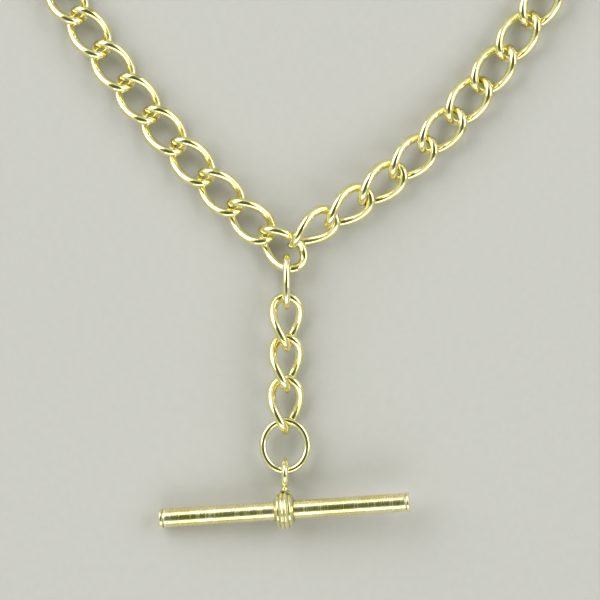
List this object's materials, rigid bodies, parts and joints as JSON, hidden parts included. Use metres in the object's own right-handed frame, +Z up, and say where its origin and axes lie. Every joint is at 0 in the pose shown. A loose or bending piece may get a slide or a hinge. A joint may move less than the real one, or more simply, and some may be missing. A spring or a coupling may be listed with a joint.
{
  "type": "pocket watch chain",
  "caption": "Double Albert pocket watch chain in polished gold: two curb link arms with swivel clips, and a short drop with a toggle bar.",
  "frame": {"origin": "on the table, under the middle of the chain as it lies flat", "axes": "+Z up from the table; +Y from the toggle bar towards the two clips; +X from the left arm to the right arm"},
  "size_m": [0.1284, 0.15, 0.0055],
  "materials": {
    "polished_gold": "polished",
    "light_gold": "polished",
    "spring_steel": "brushed"
  },
  "bodies": {
    "centre_link": {"centre_link": "polished_gold"},
    "left_link_01": {"left_link_01": "polished_gold"},
    "left_link_02": {"left_link_02": "polished_gold"},
    "left_link_03": {"left_link_03": "polished_gold"},
    "left_link_04": {"left_link_04": "polished_gold"},
    "left_link_05": {"left_link_05": "polished_gold"},
    "left_link_06": {"left_link_06": "polished_gold"},
    "left_link_07": {"left_link_07": "polished_gold"},
    "left_link_08": {"left_link_08": "polished_gold"},
    "left_link_09": {"left_link_09": "polished_gold"},
    "left_link_10": {"left_link_10": "polished_gold"},
    "left_link_11": {"left_link_11": "polished_gold"},
    "left_link_12": {"left_link_12": "polished_gold"},
    "left_link_13": {"left_link_13": "polished_gold"},
    "left_link_14": {"left_link_14": "polished_gold"},
    "left_link_15": {"left_link_15": "polished_gold"},
    "left_link_16": {"left_link_16": "polished_gold"},
    "left_link_17": {"left_link_17": "polished_gold"},
    "left_link_18": {"left_link_18": "polished_gold"},
    "right_link_01": {"right_link_01": "polished_gold"},
    "right_link_02": {"right_link_02": "polished_gold"},
    "right_link_03": {"right_link_03": "polished_gold"},
    "right_link_04": {"right_link_04": "polished_gold"},
    "right_link_05": {"right_link_05": "polished_gold"},
    "right_link_06": {"right_link_06": "polished_gold"},
    "right_link_07": {"right_link_07": "polished_gold"},
    "right_link_08": {"right_link_08": "polished_gold"},
    "right_link_09": {"right_link_09": "polished_gold"},
    "right_link_10": {"right_link_10": "polished_gold"},
    "right_link_11": {"right_link_11": "polished_gold"},
    "right_link_12": {"right_link_12": "polished_gold"},
    "right_link_13": {"right_link_13": "polished_gold"},
    "right_link_14": {"right_link_14": "polished_gold"},
    "right_link_15": {"right_link_15": "polished_gold"},
    "right_link_16": {"right_link_16": "polished_gold"},
    "right_link_17": {"right_link_17": "polished_gold"},
    "right_link_18": {"right_link_18": "polished_gold"},
    "right_link_19": {"right_link_19": "polished_gold"},
    "drop_link_1": {"drop_link_1": "polished_gold"},
    "drop_link_2": {"drop_link_2": "polished_gold"},
    "drop_link_3": {"drop_link_3": "polished_gold"},
    "jump_ring": {"jump_ring": "light_gold"},
    "toggle_ring": {"toggle_ring": "light_gold"},
    "left_bow": {"left_bow": "polished_gold"},
    "right_bow": {"right_bow": "polished_gold"},
    "toggle_bar": {"toggle_tube": "polished_gold", "toggle_cap_left": "polished_gold", "toggle_cap_right": "polished_gold", "toggle_collar": "light_gold", "toggle_eye": "polished_gold"},
    "left_clip": {"left_clip_body": "polished_gold", "left_latch_rivet": "light_gold"},
    "left_latch": {"left_latch": "polished_gold"},
    "left_latch_spring": {"left_latch_spring": "spring_steel"},
    "right_clip": {"right_clip_body": "polished_gold", "right_latch_rivet": "light_gold"},
    "right_latch": {"right_latch": "polished_gold"},
    "right_latch_spring": {"right_latch_spring": "spring_steel"}
  },
  "joints": [
    {"name": "left_latch_hinge", "type": "hinge", "parent": "left_clip", "child": "left_latch", "pos_m": [-0.05735, 0.06279, 0.0015], "axis": [0, 0, 1], "range_deg": [0, 26], "stiffness_Nm_per_rad": 0.01},
    {"name": "right_latch_hinge", "type": "hinge", "parent": "right_clip", "child": "right_latch", "pos_m": [0.06125, 0.06282, 0.0015], "axis": [0, 0, 1], "range_deg": [0, 26], "stiffness_Nm_per_rad": 0.01},
    {"name": "left_swivel", "type": "hinge", "parent": "left_bow", "child": "left_clip", "pos_m": [-0.0593, 0.05699, 0.0015], "axis": [0, 1, 0], "continuous": true},
    {"name": "right_swivel", "type": "hinge", "parent": "right_bow", "child": "right_clip", "pos_m": [0.0593, 0.05702, 0.0015], "axis": [0, 1, 0], "continuous": true},
    {"name": "toggle_bar_swing", "type": "hinge", "parent": "toggle_ring", "child": "toggle_bar", "pos_m": [-0.00202, -0.06326, 0.00208], "axis": [0, 0, 1], "range_deg": [-90, 90]},
    {"name": "toggle_ring_swing", "type": "hinge", "parent": "drop_link_3", "child": "toggle_ring", "pos_m": [-0.00199, -0.06045, 0.00208], "axis": [0, 0, 1], "range_deg": [-10.5, 20]},
    {"name": "jump_ring_swing", "type": "hinge", "parent": "centre_link", "child": "jump_ring", "pos_m": [-0.00179, -0.03758, 0.00245], "axis": [0, 0, 1], "range_deg": [-20, 15.5]},
    {"name": "drop_link_1_swing", "type": "hinge", "parent": "jump_ring", "child": "drop_link_1", "pos_m": [-0.00184, -0.04317, 0.00253], "axis": [0, 0, -1], "range_deg": [-20, 20]},
    {"name": "drop_link_2_swing", "type": "hinge", "parent": "drop_link_1", "child": "drop_link_2", "pos_m": [-0.00189, -0.04891, 0.00253], "axis": [0, 0, 1], "range_deg": [-20, 20]},
    {"name": "drop_link_3_swing", "type": "hinge", "parent": "drop_link_2", "child": "drop_link_3", "pos_m": [-0.00194, -0.05465, 0.00237], "axis": [0, 0, -1], "range_deg": [-20, 20]},
    {"name": "left_bow_swing", "type": "hinge", "parent": "left_link_18", "child": "left_bow", "pos_m": [-0.0593, 0.05299, 0.0015], "axis": [0, 0, 1], "range_deg": [-18.5, 20]},
    {"name": "right_bow_swing", "type": "hinge", "parent": "right_link_19", "child": "right_bow", "pos_m": [0.0593, 0.05302, 0.0015], "axis": [0, 0, -1], "range_deg": [-20, 20]},
    {"name": "left_latch_spring_bend", "type": "hinge", "parent": "left_clip", "child": "left_latch_spring", "pos_m": [-0.06008, 0.06119, 0.0015], "axis": [0, 0, 1], "range_deg": [-23, 0]},
    {"name": "right_latch_spring_bend", "type": "hinge", "parent": "right_clip", "child": "right_latch_spring", "pos_m": [0.05852, 0.06122, 0.0015], "axis": [0, 0, 1], "range_deg": [-23, 0]},
    {"name": "left_link_01_swing", "type": "hinge", "parent": "centre_link", "child": "left_link_01", "pos_m": [-0.00485, -0.03357, 0.00214], "axis": [0, 0, 1], "range_deg": [-15.5, 20]},
    {"name": "left_link_02_swing", "type": "hinge", "parent": "left_link_01", "child": "left_link_02", "pos_m": [-0.00912, -0.02975, 0.00192], "axis": [0, 0, 1], "range_deg": [-11.5, 20]},
    {"name": "left_link_03_swing", "type": "hinge", "parent": "left_link_02", "child": "left_link_03", "pos_m": [-0.01321, -0.02571, 0.00173], "axis": [0, 0, -1], "range_deg": [-20, 12.5]},
    {"name": "left_link_04_swing", "type": "hinge", "parent": "left_link_03", "child": "left_link_04", "pos_m": [-0.0171, -0.0215, 0.00155], "axis": [0, 0, -1], "range_deg": [-20, 14.5]},
    {"name": "left_link_05_swing", "type": "hinge", "parent": "left_link_04", "child": "left_link_05", "pos_m": [-0.02082, -0.01712, 0.00155], "axis": [0, 0, -1], "range_deg": [-20, 20]},
    {"name": "left_link_06_swing", "type": "hinge", "parent": "left_link_05", "child": "left_link_06", "pos_m": [-0.02437, -0.01261, 0.00155], "axis": [0, 0, -1], "range_deg": [-20, 20]},
    {"name": "left_link_07_swing", "type": "hinge", "parent": "left_link_06", "child": "left_link_07", "pos_m": [-0.02776, -0.00798, 0.00155], "axis": [0, 0, 1], "range_deg": [-20, 20]},
    {"name": "left_link_08_swing", "type": "hinge", "parent": "left_link_07", "child": "left_link_08", "pos_m": [-0.03101, -0.00325, 0.00155], "axis": [0, 0, 1], "range_deg": [-20, 20]},
    {"name": "left_link_09_swing", "type": "hinge", "parent": "left_link_08", "child": "left_link_09", "pos_m": [-0.03412, 0.00158, 0.00155], "axis": [0, 0, 1], "range_deg": [-20, 20]},
    {"name": "left_link_10_swing", "type": "hinge", "parent": "left_link_09", "child": "left_link_10", "pos_m": [-0.0371, 0.00648, 0.00155], "axis": [0, 0, 1], "range_deg": [-20, 20]},
    {"name": "left_link_11_swing", "type": "hinge", "parent": "left_link_10", "child": "left_link_11", "pos_m": [-0.03995, 0.01146, 0.00155], "axis": [0, 0, -1], "range_deg": [-20, 20]},
    {"name": "left_link_12_swing", "type": "hinge", "parent": "left_link_11", "child": "left_link_12", "pos_m": [-0.0427, 0.0165, 0.00155], "axis": [0, 0, -1], "range_deg": [-20, 20]},
    {"name": "left_link_13_swing", "type": "hinge", "parent": "left_link_12", "child": "left_link_13", "pos_m": [-0.04534, 0.0216, 0.00155], "axis": [0, 0, -1], "range_deg": [-20, 20]},
    {"name": "left_link_14_swing", "type": "hinge", "parent": "left_link_13", "child": "left_link_14", "pos_m": [-0.04789, 0.02674, 0.00155], "axis": [0, 0, -1], "range_deg": [-20, 20]},
    {"name": "left_link_15_swing", "type": "hinge", "parent": "left_link_14", "child": "left_link_15", "pos_m": [-0.05034, 0.03193, 0.00155], "axis": [0, 0, 1], "range_deg": [-20, 20]},
    {"name": "left_link_16_swing", "type": "hinge", "parent": "left_link_15", "child": "left_link_16", "pos_m": [-0.0527, 0.03716, 0.00155], "axis": [0, 0, 1], "range_deg": [-20, 20]},
    {"name": "left_link_17_swing", "type": "hinge", "parent": "left_link_16", "child": "left_link_17", "pos_m": [-0.05499, 0.04243, 0.00155], "axis": [0, 0, 1], "range_deg": [-20, 20]},
    {"name": "left_link_18_swing", "type": "hinge", "parent": "left_link_17", "child": "left_link_18", "pos_m": [-0.05719, 0.04773, 0.00155], "axis": [0, 0, 1], "range_deg": [-20, 20]},
    {"name": "right_link_01_swing", "type": "hinge", "parent": "centre_link", "child": "right_link_01", "pos_m": [-0.0008, -0.03501, 0.00258], "axis": [0, 0, -1], "range_deg": [-20, 15.5]},
    {"name": "right_link_02_swing", "type": "hinge", "parent": "right_link_01", "child": "right_link_02", "pos_m": [0.00421, -0.03221, 0.00243], "axis": [0, 0, -1], "range_deg": [-15.5, 17.5]},
    {"name": "right_link_03_swing", "type": "hinge", "parent": "right_link_02", "child": "right_link_03", "pos_m": [0.00895, -0.02897, 0.00226], "axis": [0, 0, 1], "range_deg": [-11.5, 18.5]},
    {"name": "right_link_04_swing", "type": "hinge", "parent": "right_link_03", "child": "right_link_04", "pos_m": [0.01342, -0.02538, 0.00206], "axis": [0, 0, 1], "range_deg": [-5.5, 20]},
    {"name": "right_link_05_swing", "type": "hinge", "parent": "right_link_04", "child": "right_link_05", "pos_m": [0.01763, -0.02147, 0.00187], "axis": [0, 0, 1], "range_deg": [-6.5, 20]},
    {"name": "right_link_06_swing", "type": "hinge", "parent": "right_link_05", "child": "right_link_06", "pos_m": [0.02159, -0.01732, 0.0017], "axis": [0, 0, 1], "range_deg": [-8.5, 20]},
    {"name": "right_link_07_swing", "type": "hinge", "parent": "right_link_06", "child": "right_link_07", "pos_m": [0.02532, -0.01296, 0.00155], "axis": [0, 0, -1], "range_deg": [-20, 11.5]},
    {"name": "right_link_08_swing", "type": "hinge", "parent": "right_link_07", "child": "right_link_08", "pos_m": [0.02883, -0.00842, 0.00155], "axis": [0, 0, -1], "range_deg": [-20, 20]},
    {"name": "right_link_09_swing", "type": "hinge", "parent": "right_link_08", "child": "right_link_09", "pos_m": [0.03215, -0.00373, 0.00155], "axis": [0, 0, -1], "range_deg": [-20, 20]},
    {"name": "right_link_10_swing", "type": "hinge", "parent": "right_link_09", "child": "right_link_10", "pos_m": [0.03528, 0.00108, 0.00155], "axis": [0, 0, -1], "range_deg": [-20, 20]},
    {"name": "right_link_11_swing", "type": "hinge", "parent": "right_link_10", "child": "right_link_11", "pos_m": [0.03824, 0.006, 0.00155], "axis": [0, 0, 1], "range_deg": [-20, 20]},
    {"name": "right_link_12_swing", "type": "hinge", "parent": "right_link_11", "child": "right_link_12", "pos_m": [0.04105, 0.011, 0.00155], "axis": [0, 0, 1], "range_deg": [-20, 20]},
    {"name": "right_link_13_swing", "type": "hinge", "parent": "right_link_12", "child": "right_link_13", "pos_m": [0.04372, 0.01609, 0.00155], "axis": [0, 0, 1], "range_deg": [-20, 20]},
    {"name": "right_link_14_swing", "type": "hinge", "parent": "right_link_13", "child": "right_link_14", "pos_m": [0.04626, 0.02123, 0.00155], "axis": [0, 0, 1], "range_deg": [-20, 20]},
    {"name": "right_link_15_swing", "type": "hinge", "parent": "right_link_14", "child": "right_link_15", "pos_m": [0.04868, 0.02644, 0.00155], "axis": [0, 0, -1], "range_deg": [-20, 20]},
    {"name": "right_link_16_swing", "type": "hinge", "parent": "right_link_15", "child": "right_link_16", "pos_m": [0.051, 0.03169, 0.00155], "axis": [0, 0, -1], "range_deg": [-20, 20]},
    {"name": "right_link_17_swing", "type": "hinge", "parent": "right_link_16", "child": "right_link_17", "pos_m": [0.05321, 0.03698, 0.00155], "axis": [0, 0, -1], "range_deg": [-20, 20]},
    {"name": "right_link_18_swing", "type": "hinge", "parent": "right_link_17", "child": "right_link_18", "pos_m": [0.05533, 0.04232, 0.00155], "axis": [0, 0, -1], "range_deg": [-20, 20]},
    {"name": "right_link_19_swing", "type": "hinge", "parent": "right_link_18", "child": "right_link_19", "pos_m": [0.05737, 0.04768, 0.00155], "axis": [0, 0, 1], "range_deg": [-20, 20]}
  ],
  "couplings": [
    {"joint": "left_latch_spring_bend", "follows": "left_latch_hinge", "ratio": -0.8},
    {"joint": "right_latch_spring_bend", "follows": "right_latch_hinge", "ratio": -0.8}
  ]
}
